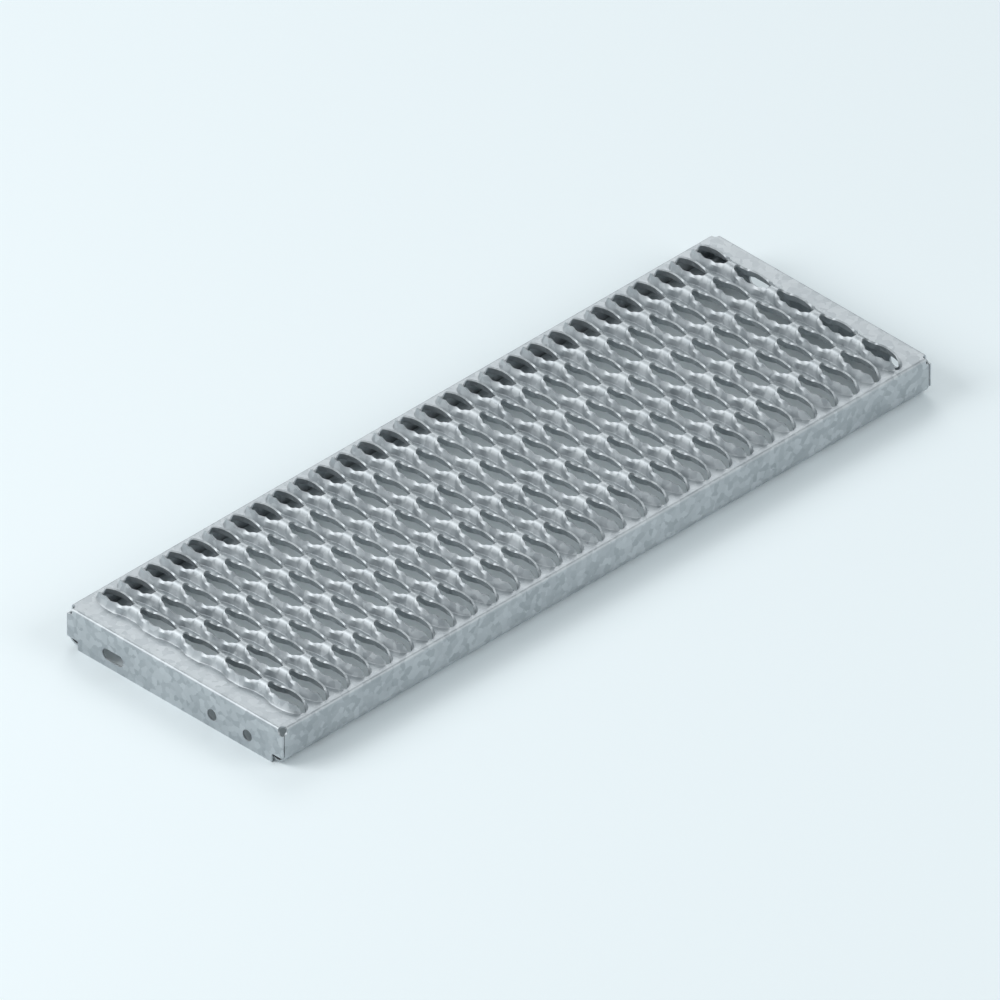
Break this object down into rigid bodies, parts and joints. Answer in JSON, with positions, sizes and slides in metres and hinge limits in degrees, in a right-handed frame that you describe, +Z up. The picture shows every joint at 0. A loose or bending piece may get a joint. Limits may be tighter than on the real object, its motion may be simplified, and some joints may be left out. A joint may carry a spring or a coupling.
{
  "type": "stair tread",
  "caption": "Folded steel stair tread with raised lens-shaped openings and scalloped rims, rolled beads under its long sides and bolt holes in both end flanges.",
  "frame": {"origin": "middle of the footprint, level with the lower edge of the end flanges", "axes": "+X along the tread's length, +Y from the nosing to the back, +Z up, out of the walking face"},
  "size_m": [0.917, 0.305, 0.0587],
  "materials": {
    "galvanised_steel": "satin"
  },
  "bodies": {
    "root": {"tread": "galvanised_steel"}
  },
  "joints": []
}
